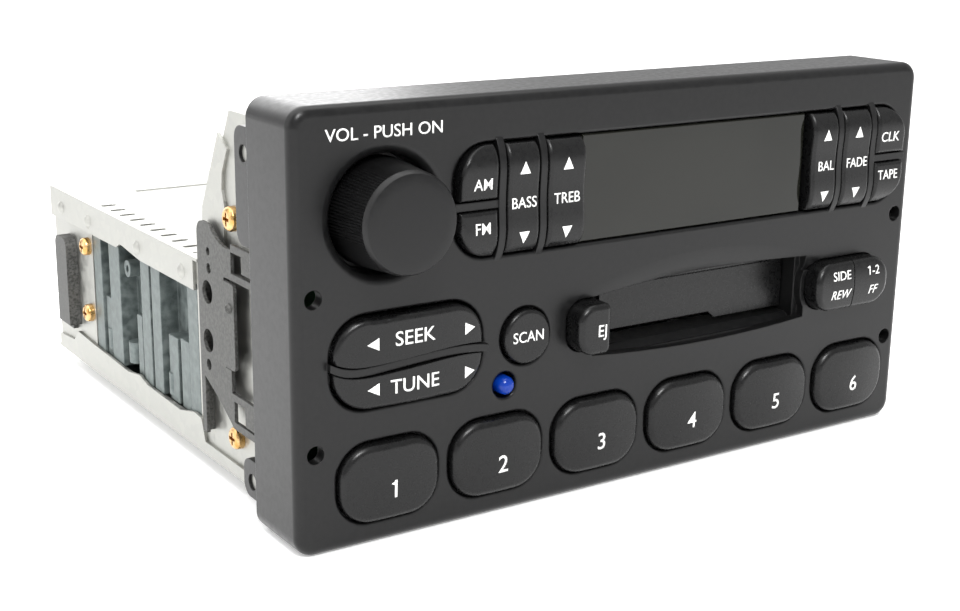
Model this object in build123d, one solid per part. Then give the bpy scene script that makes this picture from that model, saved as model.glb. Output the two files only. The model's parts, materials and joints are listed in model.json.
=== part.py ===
"""Dashboard car radio with a cassette player, as an assembly of separate pieces.

Each function makes one piece and the PARTS table at the end gives it its node name.
The design frame has x = 0 on the centre line, y = 0 on the front face with depth along +Y,
and z = 0 at mid height of the face. Pieces are exported with the origin moved to the bottom
centre of the whole radio's box.
"""

import math
import os

from build123d import *

# ------------------------------------------------------------------ driving sizes, millimetres
FACE_W, FACE_H = 188.0, 100.0
RIM_DEPTH = 20.8
FRONT_WALL, RIM_WALL = 3.0, 2.4
CORNER_R, EDGE_R, LIP_R = 4.5, 2.3, 0.8

BODY_W = 178.0
BODY_TOP, BODY_BOTTOM = 5.0, -45.4
BODY_FRONT, BODY_BACK = 57.0, 173.5
SHEET = 0.8

REAR_END = 188.0
KNOB_FRONT = -11.5
MID_DEPTH = (KNOB_FRONT + REAR_END) / 2

GAP = 0.35
PIVOT_DEPTH = 6.0
PIVOT_R, PIVOT_BORE_R = 1.2, 1.25

# upper window: keys at both ends and the lens between
WINDOW = (-54.0, 88.8, 13.0, 39.2)
WINDOW_MID_Z = (WINDOW[2] + WINDOW[3]) / 2
WINDOW_R = 8.5
RIB_T, RIB_BACK = 1.8, 9.0
RIB_X = (-42.2, -30.9, 64.3, 76.6)
LENS_RIB_X = (-17.9, 52.5)
RIB_CROWN, SPLIT_CROWN, KEY_CROWN = 2.2, 1.8, 2.7
WAVE_DIP, WAVE_STEPS = 0.2, 8
KEY_EDGE_R = 1.0
KEY_SPLIT_Z = 25.4
LENS = (-18.6, 53.0, 13.3, 38.9)
LENS_BACK = 4.0

# volume knob
KNOB_X, KNOB_Z = -71.2, 25.5
WELL_R, WELL_DEPTH, WELL_LIP_R = 13.2, 8.5, 2.4
KNOB_BACK_R, KNOB_FRONT_R = 12.4, 11.4
SHAFT_R, SHAFT_BORE_R = 3.0, 3.05
VOLUME_PUSH = 0.8

# tuning rockers, scan key and indicator
SEEK = (-85.5, -45.8, -17.8, 4.0)
SEEK_R = 9.0
TUNING_PROUD, TUNING_ARCH_R = 2.6, 120.0
RIDGE_T = 1.8
RIDGE_POINTS = ((-86.2, -6.3), (-81.0, -8.3), (-74.5, -8.4), (-62.0, -7.5), (-45.0, -8.0))
SCAN_X, SCAN_Z, SCAN_R = -33.9, -7.2, 6.9
LED_X, LED_Z, LED_R, LED_HOLE_R = -39.5, -18.4, 2.25, 3.1

# preset keys
PRESET_X0, PRESET_PITCH, PRESET_Z = -70.9, 29.2, -35.1
PRESET_W, PRESET_H, PRESET_R = 26.4, 19.2, 8.2
PRESET_PROUD, PRESET_DOME_R = 2.5, 75.0

# snap tabs on the rim: low and high end, and height of the window in each
SNAP_TABS = ((16.0, 43.0, 37.0), (-44.0, -34.6, -40.0))
SNAP_Y = 25.0

# release holes for the removal keys
KEY_HOLE_X, KEY_HOLE_Z, KEY_HOLE_R = 89.2, (9.0, -26.0), 2.1

# cassette mouth, door and the keys beside it
SLOT = (-10.6, 54.8, -16.6, 1.2)
SLOT_DEPTH = 13.0
SLEEVE_T, COLLAR_T = 1.2, 1.3
COLLAR_FRONT, COLLAR_BACK = 2.4, 8.0
BROW_R, BROW_TOP_Z, BROW_X = 118.0, 7.2, 22.0
BROW_W, BROW_ROLL_R = 6.0, 10.0
BROW_ENDS = (-19.0, 62.0)
EJECT = (-22.2, -12.1, -13.8, -0.6)
EJECT_R, EJECT_CORNER_R, EJECT_PROUD = 4.9, 2.0, 5.5
TAPE_KEYS = (56.4, 83.6, -14.5, -0.6)
TAPE_KEYS_R, TAPE_KEYS_PROUD, TAPE_KEYS_PRESS = 6.0, 5.2, 2.0
TAPE_KEYS_CROWN_R = 22.0
DOOR_AXIS_Y, DOOR_AXIS_Z, DOOR_T = 7.5, -0.1, 1.2
DOOR_LOW, DOOR_STEP_LOW, DOOR_STEP_X = -12.0, -13.8, 29.0
DOOR_PIN_R, DOOR_PIN_BORE_R = 0.8, 0.85

# vent slots along the lid's left edge
VENTS, VENT_X, VENT_Y0, VENT_PITCH = 9, -84.5, 76.0, 7.4

# notch in each front corner of the lid, round the chassis ear
EAR_NOTCH = 2.4

# rear wall: aerial socket and the two connectors
ANTENNA_X, ANTENNA_Z = -52.0, -18.0
SOCKETS = ((2.2, 39.8), (46.2, 71.8))
SOCKET_Z = (-31.8, -14.2)

# boards and switches behind the face
BOARD_FRONT, BOARD_T = 14.5, 1.6
SWITCH_TIP, SWITCH_BODY = 10.6, 11.5
STEM_END = 9.4

# tape deck
CARRIER = (-10.8, 56.8, 24.0, 126.0)
CARRIER_LOW, CARRIER_TOP = -14.0, 0.2
DECK_TOP, DECK_T = -22.2, 1.0
DECK = (-16.0, 86.0, 24.0, 142.0)
SPINDLE_X, CASSETTE_MID_Y, SPINDLE_HALF_GAP = 20.0, 75.0, 21.25
SPINDLE_TOP = -14.3
CAPSTAN_X, CAPSTAN_HALF_GAP, CAPSTAN_R = 49.5, 31.0, 1.2
FLYWHEEL_R, FLYWHEEL_LOW, FLYWHEEL_TOP = 16.0, -28.4, -24.8
PULLEY_R = 3.5
MOTOR_X, MOTOR_Y, MOTOR_R = 70.5, 124.5, 12.0
MOTOR_LOW, MOTOR_TOP = -36.6, -29.4
BELT_T = 0.8
PINCH_R, HEAD_TRAVEL = 5.0, 4.0
PINCH_X = CAPSTAN_X + CAPSTAN_R + PINCH_R + HEAD_TRAVEL + 0.15

MAIN_BOARD_Z, MAIN_BOARD_T = -39.2, 1.6


# ------------------------------------------------------------------ shape helpers
def block(x_low, x_high, y_low, y_high, z_low, z_high):
    """A box between two corners."""
    size = (x_high - x_low, y_high - y_low, z_high - z_low)
    middle = ((x_low + x_high) / 2, (y_low + y_high) / 2, (z_low + z_high) / 2)
    return Pos(*middle) * Box(*size)


def rod_x(x_low, x_high, y, z, radius):
    """A cylinder along X."""
    return Pos((x_low + x_high) / 2, y, z) * Rot(0, 90, 0) * Cylinder(radius, x_high - x_low)


def rod_y(x, z, radius, y_low, y_high):
    """A cylinder along Y."""
    return Pos(x, (y_low + y_high) / 2, z) * Rot(90, 0, 0) * Cylinder(radius, y_high - y_low)


def rod_z(x, y, radius, z_low, z_high):
    """A cylinder along Z."""
    return Pos(x, y, (z_low + z_high) / 2) * Cylinder(radius, z_high - z_low)


def front_prism(outline, front, back):
    """An outline drawn in front view, running from depth front to depth back."""
    return extrude(Plane.XZ.offset(-back) * outline, back - front)


def side_prism(points, x_low, x_high):
    """A polygon of (depth, height) points, running from x_low to x_high."""
    return extrude(Plane.YZ.offset(x_low) * make_face(Polyline(*points, close=True)), x_high - x_low)


def rounded(bounds, radius, grow=0.0):
    """A rounded rectangle in front view from (x low, x high, z low, z high)."""
    x_low, x_high, z_low, z_high = bounds
    outline = RectangleRounded(x_high - x_low + 2 * grow, z_high - z_low + 2 * grow, radius + grow)
    return Pos((x_low + x_high) / 2, (z_low + z_high) / 2) * outline


def mirrored(shape):
    """The piece for the other side of the radio."""
    return mirror(shape, about=Plane.YZ)


def window_wave(z, crown):
    """How far a key's front stands out at a height: full near both ends and a shallow valley between."""
    half = (WINDOW[3] - WINDOW[2]) / 2
    share = min(1.0, abs(z - WINDOW_MID_Z) / half) ** 2
    return crown * (1 - share ** 3) * (1 - WAVE_DIP + 4 * WAVE_DIP * share * (1 - share))


def crowned_prism(x_low, x_high, z_low, z_high, crown, back):
    """A bar along Z whose front follows the window keys' wave."""
    step = (z_high - z_low) / WAVE_STEPS
    heights = [z_low + step * i for i in range(WAVE_STEPS + 1)]
    front = Spline(*[(-window_wave(z, crown), z) for z in heights])
    rest = Polyline(front @ 1, (back, z_high), (back, z_low), front @ 0)
    return extrude(Plane.YZ.offset(x_low) * make_face([front, rest]), x_high - x_low)


def soften(shape, radius):
    """Rounds the front edges of a key cap."""
    front_most = shape.faces().sort_by(Axis.Y)[0]
    return fillet(front_most.edges(), radius)


# ------------------------------------------------------------------ face moulding
def eject_outline(grow):
    """The eject key's outline in front view: a round left end and a straight right side."""
    x_low, x_high, z_low, z_high = EJECT
    size = (x_high - x_low + 2 * grow, z_high - z_low + 2 * grow)
    outline = Pos((x_low + x_high) / 2, (z_low + z_high) / 2) * Rectangle(*size)
    outline = fillet(outline.vertices().group_by(Axis.X)[0], EJECT_R + grow)
    return fillet(outline.vertices().group_by(Axis.X)[-1], EJECT_CORNER_R + grow)


def mouth_outline():
    """The long opening shared by the eject key, the cassette slot and the wind keys."""
    top = ThreePointArc((-14.0, -0.6), (22.0, 1.5), (56.6, 0.9))
    low = ThreePointArc((56.6, -15.6), (22.0, -17.1), (-14.0, -15.3))
    sides = [Line((56.6, 0.9), (56.6, -15.6)), Line((-14.0, -15.3), (-14.0, -0.6))]
    slot = make_face([top, low, *sides]) - rounded(TAPE_KEYS, TAPE_KEYS_R, COLLAR_T)
    eject = rounded((EJECT[0], EJECT[1] + 4.0, EJECT[2], EJECT[3]), EJECT_R)
    return slot + eject + rounded(TAPE_KEYS, TAPE_KEYS_R)


def brow_scoop():
    """The crescent hollow that rolls the face down into the top of the cassette mouth."""
    def roll(width):
        return (BROW_R - width, BROW_ROLL_R - math.sqrt(BROW_ROLL_R ** 2 - width ** 2))

    inner = roll(BROW_W)
    curve = ThreePointArc(roll(0.0), roll(BROW_W / 2), inner)
    rest = Polyline(inner, (inner[0], -1.0), (BROW_R, -1.0), (BROW_R, 0.0))
    ring = Pos(BROW_X, 0, BROW_TOP_Z - BROW_R) * revolve(make_face([curve, rest]), Axis.Y, 360)
    return ring & block(*BROW_ENDS, -2.0, FRONT_WALL, -3.0, BROW_TOP_Z + 1)


def preset_x(number):
    """Centre of preset key 1 to 6."""
    return PRESET_X0 + PRESET_PITCH * (number - 1)


def preset_bounds(number):
    """Opening of a preset key in front view."""
    x = preset_x(number)
    return (x - PRESET_W / 2, x + PRESET_W / 2, PRESET_Z - PRESET_H / 2, PRESET_Z + PRESET_H / 2)


def ridge_outline(thickness):
    """The wavy bar between the seek and tune rockers, in front view."""
    upper = [(x, z + thickness / 2) for x, z in RIDGE_POINTS]
    lower = [(x, z - thickness / 2) for x, z in RIDGE_POINTS][::-1]
    edges = [Spline(*upper), Line(upper[-1], lower[0]), Spline(*lower), Line(lower[-1], upper[0])]
    return make_face(edges)


def window_ribs():
    """Ribs between the window keys, with the bores that the rocker pins turn in."""
    ribs = Part()
    for x in RIB_X:
        ribs += crowned_prism(x - RIB_T / 2, x + RIB_T / 2, WINDOW[2] - 1, WINDOW[3] + 1, RIB_CROWN, RIB_BACK)
    for x in LENS_RIB_X:
        ribs += block(x - RIB_T / 2, x + RIB_T / 2, LENS_BACK, RIB_BACK, WINDOW[2] - 2, WINDOW[3] + 2)
        for z in (WINDOW[2] - 1.5, WINDOW[3] + 1.5):
            ribs += block(x - RIB_T / 2, x + RIB_T / 2, FRONT_WALL - 1, RIB_BACK, z - 0.5, z + 0.5)
    for x_low, x_high in ((WINDOW[0] - 1, RIB_X[0]), (RIB_X[3], WINDOW[1] + 1)):
        bar = crowned_prism(x_low, x_high, KEY_SPLIT_Z - RIB_T / 2, KEY_SPLIT_Z + RIB_T / 2, SPLIT_CROWN, 7.0)
        ribs += bar & front_prism(rounded(WINDOW, WINDOW_R, 0.5), -RIB_CROWN - 1, 8.0)
    bore = rod_x(LENS_RIB_X[0] - 30, LENS_RIB_X[1] + 30, PIVOT_DEPTH, WINDOW_MID_Z, PIVOT_BORE_R)
    return ribs - bore


def tuning_lugs():
    """Lugs above, between and below the tuning rockers, bored for their upright pins."""
    x = (SEEK[0] + SEEK[1]) / 2
    lugs = front_prism(ridge_outline(RIDGE_T), -1.6, 9.0)
    lugs = lugs & front_prism(rounded(SEEK, SEEK_R, 0.6), -2.0, 10.0)
    for z_low, z_high in ((SEEK[3] + 0.3, SEEK[3] + 2.1), (SEEK[2] - 2.1, SEEK[2] - 0.3)):
        lugs += block(x - 3.0, x + 3.0, 2.0, 9.0, z_low, z_high)
    return lugs - rod_z(x, PIVOT_DEPTH, PIVOT_BORE_R, SEEK[2] - 4, SEEK[3] + 4)


def slot_sleeve():
    """The tunnel behind the cassette mouth, the collars of the keys beside it and the door's pin bores."""
    x_low, x_high, z_low, z_high = SLOT
    low, high = z_low - SLEEVE_T, z_high + SLEEVE_T
    sleeve = block(x_low - SLEEVE_T, x_high + SLEEVE_T, COLLAR_FRONT, SLOT_DEPTH, low, high)
    sleeve += block(EJECT[1] - 1.5, x_low, COLLAR_FRONT, COLLAR_BACK, low, high)
    sleeve += block(x_high, TAPE_KEYS[0] + 1.5, COLLAR_FRONT, COLLAR_BACK, low, high)
    for outer in (eject_outline(SLEEVE_T), rounded(TAPE_KEYS, TAPE_KEYS_R, SLEEVE_T)):
        sleeve += front_prism(outer, COLLAR_FRONT, COLLAR_BACK)
    sleeve -= block(x_low, x_high, 0, SLOT_DEPTH + 1, z_low, z_high)
    sleeve += block(x_low - 0.9, x_low, 1.2, COLLAR_FRONT + 0.6, z_low + 1.2, z_high - 1.6)
    ramp = ((2.6, z_low - 0.2), (5.2, z_low + 1.6), (SLOT_DEPTH, z_low + 1.6), (SLOT_DEPTH, z_low - 0.2))
    sleeve += side_prism(ramp, x_low - 0.2, x_high + 0.2)
    for inner in (eject_outline(0), rounded(TAPE_KEYS, TAPE_KEYS_R)):
        sleeve -= front_prism(inner, -1.0, COLLAR_BACK + 1)
    bore = rod_x(x_low - SLEEVE_T - 0.1, x_high + SLEEVE_T + 0.1, DOOR_AXIS_Y, DOOR_AXIS_Z, DOOR_PIN_BORE_R)
    return sleeve - bore


def snap_tabs():
    """Tabs on the rim's back edge that hook over the metal frame, each with its window."""
    tabs = Part()
    for side in (-1, 1):
        for z_low, z_high, hole_z in SNAP_TABS:
            tab = block(-92.9, -91.1, 15.0, 29.5, z_low, z_high)
            tab = fillet(tab.edges().filter_by(Axis.X).group_by(Axis.Y)[-1], 3.2)
            tab -= rod_x(-94.0, -90.0, SNAP_Y, hole_z, 2.0)
            tabs += tab if side < 0 else mirrored(tab)
    return tabs


def faceplate():
    """The black moulding: rim, front wall, openings, ribs and collars."""
    half_w, half_h = FACE_W / 2, FACE_H / 2
    face = block(-half_w, half_w, 0, RIM_DEPTH, -half_h, half_h)
    face = fillet(face.edges().filter_by(Axis.Y), CORNER_R)
    face = fillet(face.faces().sort_by(Axis.Y)[0].edges(), EDGE_R)
    inside = (-half_w + RIM_WALL, half_w - RIM_WALL, -half_h + RIM_WALL, half_h - RIM_WALL)
    face -= front_prism(rounded(inside, CORNER_R - RIM_WALL), FRONT_WALL, RIM_DEPTH + 1)

    face += rod_y(KNOB_X, KNOB_Z, WELL_R + 1.6, 2.0, WELL_DEPTH + 1.6)
    face -= rod_y(KNOB_X, KNOB_Z, WELL_R, -1.0, WELL_DEPTH)
    face -= rod_y(KNOB_X, KNOB_Z, SHAFT_BORE_R + 1.0, WELL_DEPTH - 1, WELL_DEPTH + 3)
    openings = [rounded(WINDOW, WINDOW_R), rounded(SEEK, SEEK_R)]
    openings += [rounded(preset_bounds(n), PRESET_R) for n in range(1, 7)]
    openings += [Pos(SCAN_X, SCAN_Z) * Circle(SCAN_R), Pos(LED_X, LED_Z) * Circle(LED_HOLE_R)]
    for outline in openings:
        face -= front_prism(outline, -1.0, FRONT_WALL + 0.01)
    front = face.faces().sort_by(Axis.Y)[0]
    lips, well_lip = [], []
    for wire in front.inner_wires():
        is_well = (wire.bounding_box().center() - Vector(KNOB_X, 0, KNOB_Z)).length < 1.0
        (well_lip if is_well else lips).extend(wire.edges())
    face = fillet(well_lip, WELL_LIP_R)
    face = fillet([e for e in face.edges() if any(same_place(e, lip) for lip in lips)], LIP_R)
    face -= front_prism(mouth_outline(), -1.0, FRONT_WALL + 0.01)
    face -= brow_scoop()
    for x in (-KEY_HOLE_X, KEY_HOLE_X):
        for z in KEY_HOLE_Z:
            face -= rod_y(x, z, KEY_HOLE_R, -1.0, FRONT_WALL + 1)
    for x, z in ((-83.5, 44.0), (83.5, 44.0), (-83.5, -21.6), (83.5, -20.0), (0.0, 44.5)):
        face += rod_y(x, z, 1.8, FRONT_WALL - 0.5, BOARD_FRONT)
    return face + window_ribs() + tuning_lugs() + slot_sleeve() + snap_tabs()


def same_place(edge, other):
    """Whether two edges share their middle point."""
    return (edge.position_at(0.5) - other.position_at(0.5)).length < 1e-4


def display_lens():
    """The smoked window over the display, with a step that bears on the ribs behind it."""
    x_low, x_high, z_low, z_high = LENS
    lens = block(x_low, x_high, 0.4, FRONT_WALL + 0.5, z_low, z_high)
    lens = chamfer(lens.faces().sort_by(Axis.Y)[0].edges(), 0.3)
    return lens + block(x_low + 0.3, x_high - 0.3, FRONT_WALL, LENS_BACK, z_low - 1.2, z_high + 1.2)


# ------------------------------------------------------------------ keys
def key_stem(x, z, front, radius=1.8):
    """The round stem that reaches back to a key's switch."""
    return rod_y(x, z, radius, front, STEM_END)


def preset_button(number):
    """A preset key: cap, retaining flange and stem."""
    bounds = preset_bounds(number)
    dome = Pos(preset_x(number), PRESET_DOME_R - PRESET_PROUD, PRESET_Z) * Sphere(PRESET_DOME_R)
    cap = soften(front_prism(rounded(bounds, PRESET_R, -GAP), -PRESET_PROUD - 1, 4.2) & dome, 1.8)
    flange = front_prism(rounded(bounds, PRESET_R, 0.9), 3.2, 4.2)
    return cap + flange + key_stem(preset_x(number), PRESET_Z, 4.0)


def scan_button():
    """The round scan key."""
    cap = soften(rod_y(SCAN_X, SCAN_Z, SCAN_R - GAP, -1.4, 4.2), 1.0)
    return cap + rod_y(SCAN_X, SCAN_Z, SCAN_R + 0.9, 3.2, 4.2) + key_stem(SCAN_X, SCAN_Z, 4.0)


def corner_key(x_low, x_high, z_low, z_high, outer_side):
    """A key at an end of the window: its outer corners follow the window's rounding."""
    inside = front_prism(rounded(WINDOW, WINDOW_R, -GAP), -KEY_CROWN - 1, 6.0)
    cap = soften(crowned_prism(x_low, x_high, z_low, z_high, KEY_CROWN, 4.2) & inside, KEY_EDGE_R)
    x = (x_low + x_high) / 2
    z = (z_low + z_high) / 2
    edge = (x_low if outer_side < 0 else x_high) + outer_side * (GAP + 0.9)
    tab_z = KEY_SPLIT_Z + (3.5 if z > KEY_SPLIT_Z else -3.5)
    tab = block(min(edge, x), max(edge, x), 3.2, 4.2, tab_z - 1.5, tab_z + 1.5)
    return cap + tab + key_stem(x, z, 4.0)


def end_keys():
    """The four keys at the ends of the window, by name."""
    left = (WINDOW[0] + GAP, RIB_X[0] - RIB_T / 2 - GAP)
    right = (RIB_X[3] + RIB_T / 2 + GAP, WINDOW[1] - GAP)
    upper = (KEY_SPLIT_Z + RIB_T / 2 + GAP, WINDOW[3] - GAP)
    lower = (WINDOW[2] + GAP, KEY_SPLIT_Z - RIB_T / 2 - GAP)
    return {
        "am_button": lambda: corner_key(*left, *upper, -1),
        "fm_button": lambda: corner_key(*left, *lower, -1),
        "clock_button": lambda: corner_key(*right, *upper, 1),
        "tape_button": lambda: corner_key(*right, *lower, 1),
    }


def window_rocker(left_rib_x, right_rib_x):
    """A rocker that tips up and down on pins in the ribs at its sides."""
    x_low = left_rib_x + RIB_T / 2 + GAP
    x_high = right_rib_x - RIB_T / 2 - GAP
    cap = soften(crowned_prism(x_low, x_high, WINDOW[2] + 0.5, WINDOW[3] - 0.5, KEY_CROWN, 4.4), KEY_EDGE_R)
    hub = block(x_low, x_high, 4.0, PIVOT_DEPTH + 1.6, WINDOW_MID_Z - 2.2, WINDOW_MID_Z + 2.2)
    pins = rod_x(x_low - 0.95, x_high + 0.95, PIVOT_DEPTH, WINDOW_MID_Z, PIVOT_R)
    x = (x_low + x_high) / 2
    stems = [key_stem(x, WINDOW_MID_Z + dz, 4.0, 1.5) for dz in (-9.0, 9.0)]
    return cap + hub + pins + stems[0] + stems[1]


def lens_side_rocker(rib_x, lens_rib_x):
    """A rocker whose other side runs past the edge of the lens, with a longer pin on that side."""
    near = RIB_T / 2 + GAP
    if rib_x < lens_rib_x:
        x_low, x_high = rib_x + near, LENS[0] - 0.5
        pin = (x_low - 0.95, lens_rib_x - RIB_T / 2 + 0.9)
    else:
        x_low, x_high = LENS[1] + 1.2, rib_x - near
        pin = (lens_rib_x + RIB_T / 2 - 0.9, x_high + 0.95)
    cap = soften(crowned_prism(x_low, x_high, WINDOW[2] + 0.5, WINDOW[3] - 0.5, KEY_CROWN, 4.4), KEY_EDGE_R)
    hub = block(x_low, x_high, 4.0, PIVOT_DEPTH + 1.6, WINDOW_MID_Z - 2.2, WINDOW_MID_Z + 2.2)
    x = (x_low + x_high) / 2
    stems = [key_stem(x, WINDOW_MID_Z + dz, 4.0, 1.5) for dz in (-9.0, 9.0)]
    return cap + hub + rod_x(*pin, PIVOT_DEPTH, WINDOW_MID_Z, PIVOT_R) + stems[0] + stems[1]


def tuning_rocker(above):
    """The seek rocker above the wavy ridge, or the tune rocker below it."""
    x = (SEEK[0] + SEEK[1]) / 2
    arch = rod_z(x, TUNING_ARCH_R - TUNING_PROUD, TUNING_ARCH_R, SEEK[2] - 1, SEEK[3] + 1)
    body = soften(front_prism(rounded(SEEK, SEEK_R, -0.55), -TUNING_PROUD - 1, 4.4) & arch, 1.4)
    ridge_z = -7.8
    keep_low, keep_high = (ridge_z, SEEK[3] + 1) if above else (SEEK[2] - 1, ridge_z)
    body = body & block(SEEK[0], SEEK[1], -3, 5, keep_low, keep_high)
    body -= front_prism(ridge_outline(RIDGE_T + 2 * GAP), -TUNING_PROUD - 1, 5.0)
    hub_low, hub_high = (-5.0, SEEK[3] - 1.0) if above else (SEEK[2] + 1.0, -10.0)
    body += block(x - 2.2, x + 2.2, 4.0, PIVOT_DEPTH + 1.6, hub_low, hub_high)
    pin_low, pin_high = (ridge_z + 0.1, SEEK[3] + 1.6) if above else (SEEK[2] - 1.6, ridge_z - 0.1)
    body += rod_z(x, PIVOT_DEPTH, PIVOT_R, pin_low, pin_high)
    stem_z = (hub_low + hub_high) / 2
    for dx in (-13.0, 13.0):
        body += key_stem(x + dx, stem_z, 4.0, 1.5)
    return body


def eject_button():
    """The tall eject key with the rod that works the deck's eject slide."""
    cap = soften(front_prism(eject_outline(-GAP), -EJECT_PROUD, 9.5), 1.5)
    x, z = (EJECT[0] + EJECT[1]) / 2, (EJECT[2] + EJECT[3]) / 2
    stop = block(EJECT[0] - 0.2, EJECT[1] - 1.0, 8.4, 9.5, EJECT[3] - 2.0, EJECT[3] + 0.8)
    return cap + stop + block(x - 1.5, x + 1.5, 9.0, 20.0, z - 3.0, z + 3.0)


def wind_button(left):
    """The rewind key, or the fast-forward key to its right, cut from one crowned cap."""
    x_low, x_high, z_low, z_high = TAPE_KEYS
    z = (z_low + z_high) / 2
    crown = rod_x(x_low, x_high, TAPE_KEYS_CROWN_R - TAPE_KEYS_PROUD, z, TAPE_KEYS_CROWN_R)
    whole = front_prism(rounded(TAPE_KEYS, TAPE_KEYS_R, -GAP), -TAPE_KEYS_PROUD - 1, 5.0) & crown
    split = (x_low + x_high) / 2
    low, high = (x_low, split - GAP / 2) if left else (split + GAP / 2, x_high)
    cap = soften(whole, 1.6) & block(low, high, -TAPE_KEYS_PROUD - 1, 6, z_low, z_high)
    return cap + rod_y(wind_switch_x(left), z, 1.8, 4.5, SWITCH_TIP - TAPE_KEYS_PRESS - 0.2)


def wind_switch_x(left):
    """Where a wind key's stem and switch stand: at a quarter of the pair's width from its end."""
    quarter = (TAPE_KEYS[1] - TAPE_KEYS[0]) / 4
    return TAPE_KEYS[0] + quarter if left else TAPE_KEYS[1] - quarter


def cassette_door():
    """The flap across the cassette mouth, with its barrel and pins along the top."""
    x_low, x_high = SLOT[0] + 0.3, SLOT[1] - 0.3
    outline = ((x_low, DOOR_AXIS_Z), (x_high, DOOR_AXIS_Z), (x_high, DOOR_STEP_LOW),
               (DOOR_STEP_X + 2.2, DOOR_STEP_LOW), (DOOR_STEP_X, DOOR_LOW), (x_low, DOOR_LOW))
    flap = front_prism(make_face(Polyline(*outline, close=True)),
                       DOOR_AXIS_Y - DOOR_T / 2, DOOR_AXIS_Y + DOOR_T / 2)
    barrel = rod_x(x_low, x_high, DOOR_AXIS_Y, DOOR_AXIS_Z, 1.1)
    pins = rod_x(SLOT[0] - 1.0, SLOT[1] + 1.0, DOOR_AXIS_Y, DOOR_AXIS_Z, DOOR_PIN_R)
    return flap + barrel + pins


# ------------------------------------------------------------------ volume control
def volume_knob():
    """The hollow knob: a tapered skirt, a closed front and a hub on the shaft."""
    skirt = Pos(KNOB_X, (KNOB_FRONT + 5.0) / 2, KNOB_Z) * Rot(90, 0, 0)
    skirt = skirt * Cone(KNOB_BACK_R, KNOB_FRONT_R, 5.0 - KNOB_FRONT)
    skirt = fillet(skirt.faces().sort_by(Axis.Y)[0].edges(), 2.0)
    skirt -= rod_y(KNOB_X, KNOB_Z, KNOB_FRONT_R - 2.0, KNOB_FRONT + 2.2, 6.0)
    hub = rod_y(KNOB_X, KNOB_Z, SHAFT_R + 2.0, KNOB_FRONT + 1.0, 4.0)
    return skirt + hub - volume_shaft()


def volume_shaft():
    """The flatted shaft that the knob presses onto."""
    shaft = rod_y(KNOB_X, KNOB_Z, SHAFT_R, KNOB_FRONT + 3.0, 11.4)
    flat = block(KNOB_X - 4, KNOB_X + 4, KNOB_FRONT + 2, 2.0, KNOB_Z + 1.5, KNOB_Z + 4)
    return shaft - flat


def encoder_plunger():
    """The sliding collar inside the encoder that the shaft turns in and pushes."""
    return rod_y(KNOB_X, KNOB_Z, 5.0, 11.45, 12.6)


def encoder_body():
    """The rotary encoder's housing on the keypad board, open for the plunger's travel."""
    body = block(KNOB_X - 6.5, KNOB_X + 6.5, 11.0, BOARD_FRONT, KNOB_Z - 6.5, KNOB_Z + 6.5)
    return body - rod_y(KNOB_X, KNOB_Z, 5.05, 10.0, 12.6 + VOLUME_PUSH + 0.1)


# ------------------------------------------------------------------ display and keypad board
def indicator_led():
    """The domed indicator lamp and its leads' base, on the keypad board."""
    lamp = rod_y(LED_X, LED_Z, LED_R, -1.9, 6.0)
    lamp = fillet(lamp.faces().sort_by(Axis.Y)[0].edges(), LED_R - 0.2)
    flange = rod_y(LED_X, LED_Z, LED_R + 0.4, 6.0, 7.0)
    leads = [block(LED_X + dx - 0.3, LED_X + dx + 0.3, 6.5, BOARD_FRONT, LED_Z - 0.3, LED_Z + 0.3)
             for dx in (-1.27, 1.27)]
    return lamp + flange + leads[0] + leads[1]


def display_module():
    """The flat display tube behind the lens, on the keypad board."""
    glass = block(LENS[0] + 3, LENS[1] - 3, 10.0, 12.8, LENS[2] + 1, LENS[3] - 1)
    holder = block(LENS[0] + 5, LENS[1] - 5, 12.8, BOARD_FRONT, LENS[2] + 3, LENS[3] - 3)
    return glass + holder


def keypad_board():
    """The board that carries the switches, display, encoder and indicator."""
    board = block(-86.5, 86.5, BOARD_FRONT, BOARD_FRONT + BOARD_T, -45.0, 46.0)
    return board - block(-25.0, 57.2, 10, 20, -19.5, 3.5)


def switch_places():
    """Where each key's switch stands on the keypad board."""
    places = [(preset_x(n), PRESET_Z) for n in range(1, 7)] + [(SCAN_X, SCAN_Z)]
    x = (SEEK[0] + SEEK[1]) / 2
    places += [(x + dx, z) for dx in (-13.0, 13.0) for z in (-1.0, -13.4)]
    rocker_x = (-36.55, -24.7, 58.6, 70.45)
    places += [(rx, WINDOW_MID_Z + dz) for rx in rocker_x for dz in (-9.0, 9.0)]
    places += [(x, z) for x in (-48.2, 82.9) for z in (19.0, 32.6)]
    wind_z = (TAPE_KEYS[2] + TAPE_KEYS[3]) / 2
    places += [(wind_switch_x(left), wind_z) for left in (True, False)]
    return places


def push_switches():
    """The push switches under the keys."""
    switches = Part()
    for x, z in switch_places():
        base = block(x - 2.6, x + 2.6, SWITCH_BODY, BOARD_FRONT, z - 2.6, z + 2.6)
        switches += base + rod_y(x, z, 1.5, SWITCH_TIP, SWITCH_BODY)
    return switches


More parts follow.
